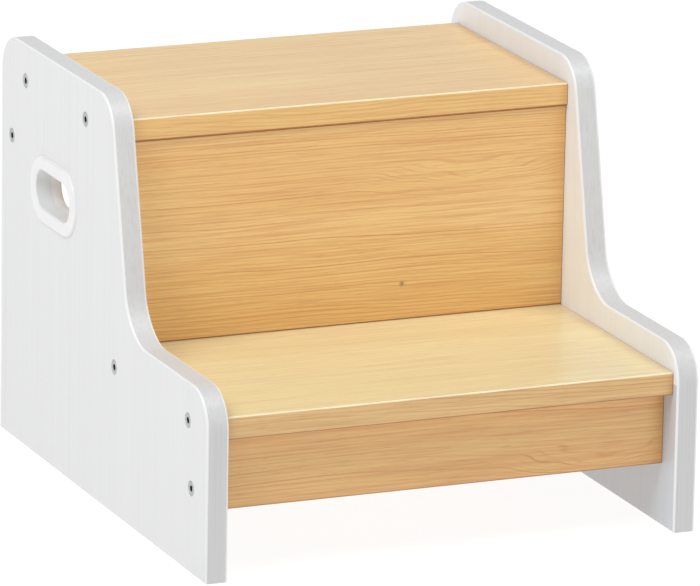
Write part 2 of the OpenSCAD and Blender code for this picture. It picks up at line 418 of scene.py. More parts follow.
def make_board(node, screws, dowels, material, lit_top=None):
    """A plain board with eased edges, and the bores for its fasteners.

    The eased edges are darker, as painted shade in the joints. A tread has a paler upper
    face as well, painted light from above, and its upper edges carry a painted highlight.
    """
    shape = settings()[0]
    low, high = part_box(node)
    board = new_block(node + "_board", low, high)
    edit(board)
    select_in(board, "EDGE", lambda e: runs_along(e, "X"))
    bpy.ops.mesh.bevel(offset=shape.board_arris, segments=5)
    for end in (low.x, high.x):
        select_in(board, "EDGE", lambda e: lies_at(e, "X", end))
        bpy.ops.mesh.bevel(offset=shape.end_arris, segments=2)
    for coat in (material, *arris_materials()):
        board.data.materials.append(coat)
    # Painted shade: all the eased edges take the dark arris wood.
    select_in(board, "FACE", lambda f: max(abs(c) for c in f.normal) < SQUARE_ON)
    paint_selected(board, 1)
    if lit_top:
        board.data.materials.append(lit_top)
        # Painted highlight: the tread's upper arrises take the pale arris wood.
        select_in(board, "FACE", lambda f: abs(f.normal.x) < SIDEWAYS and 0.1 < f.normal.z < SQUARE_ON)
        paint_selected(board, 2)
        # Painted light: the tread's upper face takes the paler copy of its wood.
        select_in(board, "FACE", lambda f: f.normal.z > SQUARE_ON)
        paint_selected(board, 3)
    put_down()
    cut_away(board, bores_for(screws, dowels))
    finish_surface(board)
    hand_over(board, node)


# ---------------------------------------------------------------- side panels

def shape_outline(panel, face_x, front, rear, top):
    """Turns an upright rectangle, as high as the step, into the panel's stepped outline."""
    shape = settings()[0]
    foot = front + shape.step_depth
    rise = top - shape.step_height
    head = foot + rise * tan(shape.slant_lean)
    bpy.ops.mesh.bisect(plane_co=(face_x, foot, 0), plane_no=(0, 1, 0))
    select_in(panel, "EDGE", lambda e: lies_at(e, "Z", shape.step_height)
              and all(v.co.y > foot - NUDGE for v in e.verts))
    bpy.ops.mesh.extrude_region_move(TRANSFORM_OT_translate={"value": (0, 0, rise)})
    select_in(panel, "VERT", lambda v: v.co.z > top - NUDGE and v.co.y < foot + NUDGE)
    bpy.ops.transform.translate(value=(0, head - foot, 0))
    bpy.ops.mesh.select_all(action="SELECT")
    bpy.ops.mesh.dissolve_limited(angle_limit=radians(1))
    for y, z, radius, opening in (
        (front, shape.step_height, shape.corner_radius, pi / 2),
        (foot, shape.step_height, shape.hollow_radius, pi / 2 + shape.slant_lean),
        (head, top, shape.corner_radius, pi / 2 + shape.slant_lean),
        (rear, top, shape.corner_radius, pi / 2),
    ):
        run_out = radius / tan(opening / 2)
        round_corner(panel, Vector((face_x, y, z)), run_out, shape.corner_steps)


def make_side_panel(side, materials):
    """A stepped panel, with its outer face, edges, arrises and inner face each painted: the edges with
    painted shade, the arrises with a painted highlight, the inner face with painted light.
    """
    shape = settings()[0]
    way = SIDES[side]
    low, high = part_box(f"side_panel_{side}")
    inner_x, outer_x = (low.x, high.x) if way > 0 else (high.x, low.x)
    panel = new_sheet(
        f"side_panel_{side}_board", Vector((inner_x, low.y, 0)),
        Vector((inner_x, high.y, shape.step_height)), (0, -pi / 2, 0),
    )
    shape_outline(panel, inner_x, low.y, high.y, high.z)
    bpy.ops.mesh.select_all(action="SELECT")
    bpy.ops.mesh.extrude_region_move(
        TRANSFORM_OT_translate={"value": (outer_x - inner_x, 0, 0)},
    )
    bpy.ops.mesh.select_all(action="SELECT")
    bpy.ops.mesh.normals_make_consistent(inside=False)
    for face_x in (inner_x, outer_x):
        select_in(panel, "EDGE", lambda e: lies_at(e, "X", face_x))
        bpy.ops.mesh.bevel(offset=shape.panel_arris, segments=4)
    put_down()
    for material in materials:
        panel.data.materials.append(material)
    edit(panel)
    # Slot 1 is the edges' painted shade, slot 2 the arrises' painted highlight, slot 3 the inner face's
    # painted light and shade.
    for slot, test in (
        (1, lambda f: abs(f.normal.x) < SIDEWAYS),
        (2, lambda f: SIDEWAYS < abs(f.normal.x) < 1 - SIDEWAYS),
        (3, lambda f: f.normal.x * way < SIDEWAYS - 1),
    ):
        select_in(panel, "FACE", test)
        paint_selected(panel, slot)
    put_down()
    cut_away(panel, panel_cutters(side, inner_x, outer_x))
    finish_surface(panel)
    hand_over(panel, f"side_panel_{side}")


def panel_cutters(side, inner_x, outer_x):
    """Cutters for the hand hole, the countersunk screw heads and the dowels."""
    shape = settings()[0]
    way = SIDES[side]
    clearance = 0.1 * MM
    head_flat = 1 * MM
    inward = Vector((-way, 0, 0))
    cutters = [stadium_cutter(side, inner_x, outer_x, clearance)]
    for place in SCREW_PLACES:
        head, tip = screw_line(place, side)
        low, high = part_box(f"screw_{place}_{side}")
        head_radius = (high.z - low.z) / 2 + clearance
        shank_radius = shape.thread_diameter / 2 + clearance
        flat_end = head + inward * head_flat
        recess = new_bar("recess", head - inward * head_flat, flat_end, head_radius, 48)
        taper = head_radius - shank_radius
        narrowing = shank_radius / head_radius
        edit(recess)
        select_in(recess, "FACE", lambda f: lies_at(f, "X", flat_end.x))
        bpy.ops.mesh.extrude_region_move(TRANSFORM_OT_translate={"value": inward * taper})
        bpy.ops.transform.resize(
            value=(1, narrowing, narrowing), center_override=flat_end + inward * taper,
        )
        bpy.ops.mesh.extrude_region_move(
            TRANSFORM_OT_translate={"value": inward * abs(outer_x - inner_x)},
        )
        put_down()
        cutters.append(recess)
    return cutters + bores_for([], [f"dowel_{name}_{side}" for name in SIDE_DOWELS])


# ---------------------------------------------------------------- hand grips

def sweep_stadium(centre, straight, steps):
    """Carries the selected cross-section once round the opening, from over its left-hand end."""
    for way in (1, -1):
        bpy.ops.mesh.extrude_region_move(
            TRANSFORM_OT_translate={"value": (0, way * straight, 0)},
        )
        bpy.ops.mesh.spin(
            steps=steps, angle=pi, axis=(1, 0, 0),
            center=(centre.x, centre.y + way * straight / 2, centre.z),
        )
    bpy.ops.mesh.select_all(action="SELECT")
    bpy.ops.mesh.remove_doubles(threshold=NUDGE)
    bpy.ops.mesh.normals_make_consistent(inside=False)


def stadium_cutter(side, inner_x, outer_x, clearance):
    """A solid of the hole that the grip's sleeve goes through."""
    shape = settings()[0]
    centre = middle(f"grip_outer_{side}")
    radius = shape.grip_height / 2 + shape.sleeve_wall + clearance
    reach = (shape.grip_length - shape.grip_height) / 2 + radius
    proud = 5 * MM
    low = Vector((min(inner_x, outer_x) - proud, centre.y - reach, centre.z - radius))
    high = Vector((max(inner_x, outer_x) + proud, centre.y + reach, centre.z + radius))
    cutter = new_block("hand_hole", low, high)
    edit(cutter)
    select_in(cutter, "EDGE", lambda e: runs_along(e, "X"))
    bpy.ops.mesh.bevel(offset=radius - NUDGE / 2, segments=16)
    put_down()
    return cutter


def lines_opening(face, centre, straight, radius):
    """True if a face belongs to the wall of the hand opening."""
    at = face.calc_center_median()
    past = max(abs(at.y - centre.y) - straight / 2, 0)
    return hypot(past, at.z - centre.z) < radius + NUDGE and abs(face.normal.x) < 0.5


def make_grip_half(side, half, rim_material, sleeve_material):
    """Rim and sleeve of one half of a hand grip, carried round the hand opening."""
    shape = settings()[0]
    node = f"grip_{half}_{side}"
    low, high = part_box(node)
    panel_low, panel_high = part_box(f"side_panel_{side}")
    outward = SIDES[side] if half == "outer" else -SIDES[side]
    face_x = panel_high.x if outward > 0 else panel_low.x
    centre = middle(f"grip_outer_{side}")
    straight = shape.grip_length - shape.grip_height
    inner_r = shape.grip_height / 2
    start_y = centre.y - straight / 2
    sleeve_z = centre.z + inner_r + shape.sleeve_wall
    top_x = face_x + outward * shape.rim_height
    tip_x = low.x if outward > 0 else high.x
    lap = 4 * MM
    mouth_round = 0.7 * shape.rim_height
    rim_round = 0.95 * shape.rim_height
    grip = new_sheet(
        f"hand_grip_{half}_{side}",
        Vector((min(face_x, top_x), start_y, centre.z + inner_r)),
        Vector((max(face_x, top_x), start_y, centre.z + inner_r + shape.rim_width)),
        (pi / 2, 0, 0),
    )
    bpy.ops.mesh.bisect(plane_co=(0, 0, sleeve_z), plane_no=(0, 0, 1))
    select_in(grip, "EDGE", lambda e: lies_at(e, "X", face_x)
              and all(v.co.z < sleeve_z + NUDGE for v in e.verts))
    shoulder_x = tip_x + outward * lap
    bpy.ops.mesh.extrude_region_move(
        TRANSFORM_OT_translate={"value": (shoulder_x - face_x, 0, 0)},
    )
    lap_z = centre.z + inner_r + shape.sleeve_wall / 2
    bpy.ops.mesh.select_all(action="SELECT")
    bpy.ops.mesh.bisect(plane_co=(0, 0, lap_z), plane_no=(0, 0, 1))
    keep_inside = half == "outer"
    select_in(grip, "EDGE", lambda e: lies_at(e, "X", shoulder_x)
              and all((v.co.z < lap_z + NUDGE) if keep_inside else (v.co.z > lap_z - NUDGE)
                      for v in e.verts))
    bpy.ops.mesh.extrude_region_move(
        TRANSFORM_OT_translate={"value": (tip_x - shoulder_x, 0, 0)},
    )
    bpy.ops.mesh.select_all(action="SELECT")
    bpy.ops.mesh.dissolve_limited(angle_limit=radians(1))
    for radius, run_out in ((inner_r, mouth_round), (inner_r + shape.rim_width, rim_round)):
        round_corner(grip, Vector((top_x, start_y, centre.z + radius)), run_out, 7)
    bpy.ops.mesh.select_mode(type="EDGE")
    bpy.ops.mesh.select_all(action="SELECT")
    bpy.ops.mesh.delete(type="ONLY_FACE")
    bpy.ops.mesh.select_all(action="SELECT")
    sweep_stadium(centre, straight, 40)
    grip.data.materials.append(rim_material)
    grip.data.materials.append(sleeve_material)
    # Painted shade: the wall of the opening takes the second material, on an outer half the darker sleeve
    # plastic.
    select_in(grip, "FACE", lambda f: lines_opening(f, centre, straight, inner_r))
    paint_selected(grip, 1)
    put_down()
    finish_surface(grip, radians(30))
    hand_over(grip, node)


# ---------------------------------------------------------------- screws

def make_screw_pattern(materials):
    """One screw that points down, with the middle of its head's face at the origin."""
    shape = settings()[0]
    low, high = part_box("screw_apron_right")
    screw_length = high.x - low.x
    head_r = (high.z - low.z) / 2
    thread_r = shape.thread_diameter / 2
    core_r = shape.core_diameter / 2
    head_flat = 1 * MM
    taper = head_r - thread_r
    shank_end = 12 * MM
    tip = 3 * MM
    head_easing = 0.35 * MM
    socket_easing = 0.25 * MM
    screw = new_bar("screw_pattern", Vector((0, 0, -head_flat)), Vector(), head_r, 64)
    edit(screw)
    stretches = (
        (taper, thread_r / head_r),
        (shank_end - head_flat - taper, 1),
        (thread_r - core_r, core_r / thread_r),
        (screw_length - shank_end - (thread_r - core_r) - tip, 1),
        (tip, 0.5),
    )
    depth = -head_flat
    for run, narrowing in stretches:
        select_in(screw, "FACE", lambda f: lies_at(f, "Z", depth))
        bpy.ops.mesh.extrude_region_move(TRANSFORM_OT_translate={"value": (0, 0, -run)})
        depth -= run
        bpy.ops.transform.resize(value=(narrowing, narrowing, 1), center_override=(0, 0, depth))
    select_in(screw, "EDGE", lambda e: lies_at(e, "Z", 0))
    bpy.ops.mesh.bevel(offset=head_easing, segments=4)
    put_down()
    socket_r = shape.socket_width / 2 / cos(pi / 6)
    socket_floor = Vector((0, 0, -shape.socket_depth))
    cut_away(screw, [new_bar("socket", socket_floor, Vector((0, 0, MM)), socket_r, 6)])
    edit(screw)
    select_in(screw, "EDGE", lambda e: lies_at(e, "Z", 0)
              and all(v.co.xy.length < socket_r + NUDGE for v in e.verts))
    bpy.ops.mesh.bevel(offset=socket_easing, segments=2)
    put_down()
    for material in materials:
        screw.data.materials.append(material)
    # Painted shade: the socket's walls and floor take the near-black material.
    edit(screw)
    select_in(screw, "FACE", lambda f: socket_floor.z - NUDGE < f.calc_center_median().z < -socket_easing
              and all(v.co.xy.length < socket_r + NUDGE for v in f.verts))
    paint_selected(screw, 1)
    put_down()
    ridge = make_thread_ridge(shape, -shank_end, screw_length - shank_end - tip)
    take_up(screw)
    ridge.select_set(True)
    bpy.ops.object.join()
    finish_surface(screw, radians(30))
    return screw


def make_thread_ridge(shape, start, run):
    """The thread's ridge: a three-sided section wound down the core from a starting height."""
    thread_r = shape.thread_diameter / 2
    core_r = shape.core_diameter / 2
    ridge_depth = 0.72 * (thread_r - core_r)
    ridge_width = 0.28 * shape.thread_pitch
    clear_selection()
    bpy.ops.mesh.primitive_circle_add(
        vertices=3, radius=1, fill_type="NOTHING", rotation=(pi / 2, 0, 0),
    )
    ridge = bpy.context.object
    ridge.name = "thread"
    settle()
    edit(ridge)
    bpy.ops.mesh.select_all(action="SELECT")
    bpy.ops.transform.rotate(value=-pi / 2, orient_axis="Y", center_override=(0, 0, 0))
    bpy.ops.transform.resize(value=(ridge_depth, 1, ridge_width), center_override=(0, 0, 0))
    mesh = bmesh.from_edit_mesh(ridge.data)
    reach = max(v.co.x for v in mesh.verts)
    bpy.ops.transform.translate(value=(thread_r - reach, 0, start - shape.thread_pitch / 2))
    put_down()
    turns = int(run / shape.thread_pitch) - 1
    winding = ridge.modifiers.new("winding", "SCREW")
    winding.screw_offset = -shape.thread_pitch
    winding.iterations = turns
    winding.steps = 20
    winding.render_steps = 20
    winding.use_smooth_shade = True
    bpy.ops.object.modifier_apply(modifier=winding.name)
    edit(ridge)
    bpy.ops.mesh.select_mode(type="EDGE")
    bpy.ops.mesh.select_all(action="DESELECT")
    bpy.ops.mesh.select_non_manifold()
    bpy.ops.mesh.edge_face_add()
    bpy.ops.mesh.select_all(action="SELECT")
    bpy.ops.mesh.normals_make_consistent(inside=False)
    put_down()
    return ridge


def place_screw(pattern, place, side):
    """A copy of the pattern in its hole, turned so that no two sockets stand alike."""
    screw = pattern.copy()
    screw.data = pattern.data.copy()
    screw.name = f"screw_{place}_{side}_steel"
    bpy.context.collection.objects.link(screw)
    head, tip = screw_line(place, side)
    order = SCREW_PLACES.index(place) + len(SCREW_PLACES) * (side == "right")
    first_turn, turn_between = radians(17), radians(23)
    spin = Matrix.Rotation(first_turn + turn_between * order, 4, "Z")
    turn = (head - tip).to_track_quat("Z", "Y").to_matrix().to_4x4()
    take_up(screw)
    screw.matrix_world = Matrix.Translation(head) @ turn @ spin
    settle()
    hand_over(screw, f"screw_{place}_{side}")


# ---------------------------------------------------------------- materials

class Recipe:
    """A material's nodes, laid down one after another."""

    def __init__(self, name):
        self.material = bpy.data.materials.new(name)
        self.material.use_nodes = True
        self.tree = self.material.node_tree
        self.shader = self.tree.nodes["Principled BSDF"]
        place = self.tree.nodes.new("ShaderNodeTexCoord")
        self.place = place.outputs["Object"]

    def node(self, kind, links=None, **values):
        """A new node, with its settings and what feeds its sockets."""
        made = self.tree.nodes.new(kind)
        for key, value in values.items():
            setattr(made, key, value)
        for socket, source in (links or {}).items():
            self.feed(made.inputs[socket], source)
        return made

    def feed(self, socket, source):
        """Links another node's output to a socket, or sets the socket's own value."""
        if isinstance(source, bpy.types.NodeSocket):
            self.tree.links.new(source, socket)
        elif socket.type == "RGBA":
            socket.default_value = (*source[:3], 1)
        else:
            socket.default_value = source

    def mapping(self, source, scale=(1, 1, 1), shift=(0, 0, 0)):
        links = {"Vector": source, "Scale": scale, "Location": shift}
        return self.node("ShaderNodeMapping", links).outputs[0]

    def noise(self, source, scale=1.0, detail=2.0, roughness=0.5):
        links = {"Vector": source, "Scale": scale, "Detail": detail, "Roughness": roughness}
        return self.node("ShaderNodeTexNoise", links).outputs["Fac"]

    def math(self, operation, first, second=0.0, third=0.0):
        links = {0: first, 1: second, 2: third}
        return self.node("ShaderNodeMath", links, operation=operation).outputs[0]

    def blend(self, share_of_second, first, second, kind="MIX"):
        made = self.node("ShaderNodeMix", data_type="RGBA", blend_type=kind)
        self.feed(made.inputs[MIX_SHARE], share_of_second)
        self.feed(made.inputs[MIX_FIRST], first)
        self.feed(made.inputs[MIX_SECOND], second)
        return made.outputs[MIX_RESULT]

    def ramp(self, source, *stops, smooth=False):
        """Turns a value into another, by pairs of a place on the ramp and the value there."""
        made = self.node("ShaderNodeValToRGB", {"Fac": source})
        band = made.color_ramp
        band.interpolation = "EASE" if smooth else "LINEAR"
        while len(band.elements) < len(stops):
            band.elements.new(1.0)
        for element, (position, value) in zip(band.elements, stops):
            element.position = position
            element.color = (value, value, value, 1)
        return made.outputs[0]

    def length_of(self, source):
        made = self.node("ShaderNodeVectorMath", {0: source}, operation="LENGTH")
        return made.outputs["Value"]

    def bump(self, height, amount, distance):
        links = {"Height": height, "Strength": amount, "Distance": distance}
        return self.node("ShaderNodeBump", links).outputs[0]

    def finish(self, **inputs):
        """Feeds the shader's inputs, whose names have _ for a space, and gives the material."""
        for name, source in inputs.items():
            self.feed(self.shader.inputs[name.replace("_", " ")], source)
        return self.material


def wood_material(name, seed, pith, tint, ring_gap, contrast, haze=0.0, figure=None, knot=None):
    """Lacquered pale wood: growth lines about a pith, fibre streaks, pores and a soft sheen.

    The grain runs along X. pith is where the heart of the log lay, as Y and Z, and ring_gap the
    distance between growth lines. seed, tint, contrast and haze set this board apart from the
    others. figure is a flame in the grain (place, half sizes, depth), and knot the place of a
    pin knot.
    """
    finish = settings()[1]
    wood = Recipe(name)
    at = wood.mapping(wood.place, shift=seed)

    # Distance from the pith, bent by the slow wander of the grain
    wander = wood.noise(wood.mapping(at, scale=(2.4, 11, 11)), 1.0, 2.0, 0.45)
    ripple = wood.noise(wood.mapping(at, scale=(12, 60, 60)), 1.0, 2.0, 0.5)
    apart = wood.node("ShaderNodeSeparateXYZ", {0: wood.place})
    lean = wood.math("MULTIPLY", apart.outputs[0], 0.02)
    across = wood.math("SUBTRACT", apart.outputs[1], pith[0])
    up = wood.math("ADD", wood.math("SUBTRACT", apart.outputs[2], pith[1]), lean)
    flat = wood.node("ShaderNodeCombineXYZ", {1: across, 2: up})
    reach = wood.length_of(flat.outputs[0])
    reach = wood.math("MULTIPLY_ADD", wander, 0.024, reach)
    reach = wood.math("MULTIPLY_ADD", ripple, 0.0024, reach)
    if figure:
        place, half, depth = figure
        shrink = [1 / size for size in half]
        shift = [-p * k for p, k in zip(place, shrink)]
        swell = wood.length_of(wood.mapping(wood.place, scale=shrink, shift=shift))
        swell = wood.ramp(swell, (0.0, 1.0), (0.5, 0.5), (1.0, 0.0), smooth=True)
        reach = wood.math("MULTIPLY_ADD", swell, depth, reach)

    # Growth lines, each with its own strength, fading in and out along the board
    turns = wood.math("DIVIDE", reach, ring_gap)
    part = wood.math("FRACT", turns)
    late = wood.ramp(part, (0.0, 0.05), (0.10, 0.0), (0.60, 0.04), (0.74, 1.0), (0.86, 1.0), (0.95, 0.05))
    ring_number = wood.math("FLOOR", turns)
    ring_at = wood.node("ShaderNodeCombineXYZ", {0: ring_number, 1: seed[0]}).outputs[0]
    ring_chance = wood.node("ShaderNodeTexWhiteNoise", {"Vector": ring_at}).outputs["Value"]
    strong = wood.ramp(ring_chance, (0.0, 0.22), (0.50, 0.50), (0.86, 0.70), (0.95, 1.15))
    faint = wood.noise(wood.mapping(at, scale=(6, 30, 30)), 1.0, 2.0)
    late = wood.math("MULTIPLY", late, strong)
    late = wood.math("MULTIPLY", late, wood.ramp(faint, (0.30, 0.30), (0.60, 1.0)))

    # Fibres, pores and the broad bands
    fibre = wood.noise(wood.mapping(at, scale=(16, 900, 900)), 1.0, 3.0, 0.6)
    streak = wood.noise(wood.mapping(at, scale=(9, 520, 520)), 1.0, 3.0, 0.6)
    pores = wood.noise(wood.mapping(at, scale=(70, 1700, 1700)), 1.0, 1.0)
    pores = wood.ramp(pores, (0.62, 0.0), (0.72, 1.0))
    band = wood.noise(wood.mapping(at, scale=(1.5, 19, 19)), 1.0, 2.0, 0.5)

    # Colour, from the broad bands down to the pores
    band = wood.ramp(band, (0.36, 0.0), (0.64, 1.0), smooth=True)
    base = wood.blend(band, finish.wood_pale, finish.wood_mid)
    base = wood.blend(wood.ramp(streak, (0.46, 0.0), (0.66, 0.50 * contrast)), base, finish.wood_dark)
    base = wood.blend(wood.math("MULTIPLY", late, 1.15 * contrast), base, finish.wood_dark)
    base = wood.blend(wood.ramp(fibre, (0.48, 0.0), (0.68, 0.40 * contrast)), base, finish.wood_dark)
    base = wood.blend(wood.math("MULTIPLY", pores, 0.25 * contrast), base, finish.pore)
    # Painted shade: the wood darkens over its last few millimetres at each end, next to the panels.
    half_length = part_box("riser")[1].x
    to_end = wood.math("ABSOLUTE", wood.math("DIVIDE", apart.outputs[0], half_length))
    end_shade = wood.ramp(to_end, (0.935, 0.0), (0.97, 0.12), (1.0, 0.42))
    base = wood.blend(end_shade, base, finish.wood_dark)
    base = wood.blend(1.0, base, tint, "MULTIPLY")
    if knot:
        knot_width = 5 * MM
        away = wood.length_of(wood.mapping(wood.place, shift=[-p for p in knot]))
        away = wood.math("DIVIDE", away, knot_width)
        dot = wood.ramp(away, (0.10, 0.85), (0.32, 0.25), (0.60, 0.0))
        base = wood.blend(dot, base, finish.pore)

    # Relief: the fibres sink a little under the lacquer
    normal = wood.bump(wood.math("MULTIPLY_ADD", pores, -0.5, fibre), 0.14, 0.08 * MM)
    coat_wave = wood.noise(wood.mapping(at, scale=(20, 70, 70)), 1.0, 2.0)
    gloss = finish.lacquer_roughness
    rough = wood.ramp(fibre, (0.3, gloss + 0.06), (0.7, gloss + 0.16))
    return wood.finish(
        Base_Color=base, Roughness=rough, Normal=normal, IOR=1.5, Coat_Weight=0.45,
        Coat_Roughness=gloss, Coat_Normal=wood.bump(coat_wave, 0.08, 0.08 * MM),
        Sheen_Weight=haze, Sheen_Roughness=0.45,
    )


def arris_materials():
    """Lacquered wood along eased edges: darkened as painted shade in the joints, and pale as a painted
    highlight.
    """
    finish = settings()[1]
    made = []
    for name, shade in (("arris_dark", finish.arris_dark), ("arris_pale", finish.arris_pale)):
        if name not in bpy.data.materials:
            wood = Recipe(name)
            fibre = wood.noise(wood.mapping(wood.place, scale=(30, 500, 500)), 1.0, 2.0)
            deep = tuple(0.85 * c for c in shade)
            base = wood.blend(wood.ramp(fibre, (0.40, 0.0), (0.65, 1.0)), shade, deep)
            wood.finish(Base_Color=base, Roughness=0.35, Coat_Weight=0.5, Coat_Roughness=0.15)
        made.append(bpy.data.materials[name])
    return made


def shade_under_treads(paint):
    """A share that is 1 on the parts of an inner face that the treads and riser close off, where painted
    shade goes.
    """
    place = paint.node("ShaderNodeSeparateXYZ", {0: paint.place})
    below_lower = paint.math("LESS_THAN", place.outputs[2], middle("lower_tread").z)
    below_upper = paint.math("LESS_THAN", place.outputs[2], middle("upper_tread").z)
    behind_riser = paint.math("GREATER_THAN", place.outputs[1], middle("riser").y)
    return paint.math("MAXIMUM", below_lower, paint.math("MULTIPLY", below_upper, behind_riser))


def paint_material(name, coat, grain_depth, shade_coat=None):
    """Satin white paint over upright grain, which still shows through as fine lines."""
    finish = settings()[1]
    paint = Recipe(name)
    grain = paint.noise(paint.mapping(paint.place, scale=(520, 520, 6)), 1.0, 3.0, 0.55)
    broad = paint.noise(paint.mapping(paint.place, scale=(60, 60, 1.8)), 1.0, 2.0, 0.5)
    speck = paint.noise(paint.place, 1400.0, 2.0, 0.6)
    # Painted shade: with a shade coat, the parts below the treads take that darker paint.
    tone = paint.blend(shade_under_treads(paint), coat, shade_coat) if shade_coat else coat
    for share_of_shade, shade in (
        (paint.ramp(broad, (0.30, 0.0), (0.70, 1.0)), 0.985),
        (paint.ramp(grain, (0.46, 0.0), (0.74, 0.9)), 1 - grain_depth),
    ):
        tone = paint.blend(share_of_shade, tone, (shade, shade, shade), "MULTIPLY")
    height = paint.math("MULTIPLY_ADD", speck, 0.35, grain)
    gloss = finish.paint_roughness
    rough = paint.ramp(grain, (0.3, gloss - 0.05), (0.7, gloss + 0.07))
    return paint.finish(
        Base_Color=tone, Roughness=rough, IOR=1.48,
        Normal=paint.bump(height, 0.16, 0.10 * MM),
    )


def grip_material(name, shade):
    """Smooth white moulded plastic with a trace of flow in its gloss."""
    plastic = Recipe(name)
    flow = plastic.noise(plastic.place, 90.0, 3.0, 0.5)
    skin = plastic.noise(plastic.place, 2600.0, 2.0, 0.5)
    tint = tuple(0.97 * c for c in shade)
    tone = plastic.blend(plastic.ramp(flow, (0.35, 0.0), (0.65, 1.0)), shade, tint)
    rough = plastic.ramp(flow, (0.3, 0.27), (0.7, 0.36))
    return plastic.finish(
        Base_Color=tone, Roughness=rough, IOR=1.49,
        Normal=plastic.bump(skin, 0.08, 0.03 * MM),
    )


def steel_material():
    """Plated steel with a fine grain and slightly uneven gloss."""
    finish = settings()[1]
    steel = Recipe("screw_steel")
    cloud = steel.noise(steel.place, 420.0, 3.0, 0.6)
    grit = steel.noise(steel.place, 5200.0, 2.0, 0.6)
    dull = tuple(0.72 * c for c in finish.steel)
    tone = steel.blend(steel.ramp(cloud, (0.35, 0.0), (0.70, 1.0)), finish.steel, dull)
    rough = steel.ramp(cloud, (0.3, 0.30), (0.7, 0.46))
    return steel.finish(
        Base_Color=tone, Metallic=0.85, Roughness=rough,
        Normal=steel.bump(grit, 0.15, 0.02 * MM),
    )


def socket_shade_material():
    """Near-black painted shade inside a screw's socket."""
    finish = settings()[1]
    black = Recipe("socket_black")
    grit = black.noise(black.place, 4200.0, 2.0, 0.6)
    shade_mottle = tuple(1.8 * c for c in finish.socket)
    tone = black.blend(black.ramp(grit, (0.4, 0.0), (0.7, 1.0)), finish.socket, shade_mottle)
    return black.finish(Base_Color=tone, Roughness=0.55, Normal=black.bump(grit, 0.2, 0.02 * MM))


def dowel_material():
    """Bare hardwood for the dowels, with short fibres."""
    finish = settings()[1]
    bare = Recipe("dowel_wood")
    fibre = bare.noise(bare.mapping(bare.place, scale=(60, 700, 700)), 1.0, 3.0, 0.6)
    fleck = bare.noise(bare.place, 900.0, 2.0, 0.6)
    dark = tuple(0.62 * c for c in finish.dowel)
    tone = bare.blend(bare.ramp(fibre, (0.40, 0.0), (0.70, 0.8)), finish.dowel, dark)
    tone = bare.blend(bare.ramp(fleck, (0.60, 0.0), (0.75, 0.4)), tone, dark)
    return bare.finish(Base_Color=tone, Roughness=0.7, Normal=bare.bump(fibre, 0.3, 0.1 * MM))


def floor_material():
    """Plain pale floor with the faintest mottle."""
    stage = settings()[2]
    floor = Recipe("floor")
    mottle = floor.noise(floor.place, 1.5, 2.0)
    tint = tuple(0.995 * c for c in stage.floor)
    tone = floor.blend(floor.ramp(mottle, (0.4, 0.0), (0.6, 1.0)), stage.floor, tint)
    return floor.finish(
        Base_Color=tone, Roughness=0.9, Emission_Color=(1, 1, 1), Emission_Strength=stage.glow,
    )


# ---------------------------------------------------------------- operators

class STOOL_OT_side_panels(bpy.types.Operator):
    """Cut the two stepped side panels, round their edges and bore them"""

    bl_idname = "stool.side_panels"
    bl_label = "Side Panels"

    def execute(self, context):
        finish = settings()[1]
        # The edge, arris and inner coats are painted shade, a painted highlight and painted light.
        materials = [
            paint_material("white_paint", finish.paint, 0.032),
            paint_material("white_paint_edge", finish.paint_edge_shade, 0.085),
            paint_material("white_paint_arris", finish.paint_arris_highlight, 0.020),
            paint_material("white_paint_inner", finish.paint_inner_lit, 0.055, finish.paint_under_shade),
        ]
        for side in SIDES:
            make_side_panel(side, materials)
        return {"FINISHED"}


class STOOL_OT_treads(bpy.types.Operator):
    """Plane the two boards that are stepped on"""

    bl_idname = "stool.treads"
    bl_label = "Treads"

    def execute(self, context):
        lines = {"ring_gap": 1.8 * MM, "contrast": 0.78}
        lower = {"seed": (1.27, 0.43, 0.18), "pith": (-0.42, -0.20), **lines}
        upper = {"seed": (0.31, 0.12, 0.55), "pith": (0.30, -0.05), **lines}
        # Painted light: each tread's upper face is a paler copy of its wood, lit from above.
        for node, log, tint, lit_top_tint, haze in (
            ("lower_tread", lower, (0.81, 0.89, 1.04), (0.95, 1.34, 1.62), 0.8),
            ("upper_tread", upper, (0.95, 1.08, 1.20), (0.95, 1.10, 1.12), 0.2),
        ):
            wood = wood_material(node + "_wood", tint=tint, **log)
            lit_top = wood_material(node + "_top_wood", tint=lit_top_tint, haze=haze, **log)
            places = (node + "_front", node + "_rear")
            dowels = [f"dowel_{node}_{side}" for side in SIDES]
            make_board(node, both(places), dowels, wood, lit_top)
        return {"FINISHED"}


class STOOL_OT_riser(bpy.types.Operator):
    """Plane the upright board between the treads"""

    bl_idname = "stool.riser"
    bl_label = "Riser"

    def execute(self, context):
        material = wood_material(
            "riser_wood", seed=(0.77, 0.05, 0.91), tint=(0.98, 1.10, 1.26),
            pith=(0.24, -0.14), ring_gap=1.7 * MM, contrast=0.90,
            figure=((0.085, -0.006, 0.203), (0.080, 0.05, 0.016), 0.0095),
            knot=(0.040, -0.006, 0.1335),
        )
        names = ("riser_low", "riser_high", *TREAD_DOWELS)
        dowels = [f"dowel_{name}_{side}" for name in names for side in SIDES]
        make_board("riser", [], dowels, material)
        return {"FINISHED"}


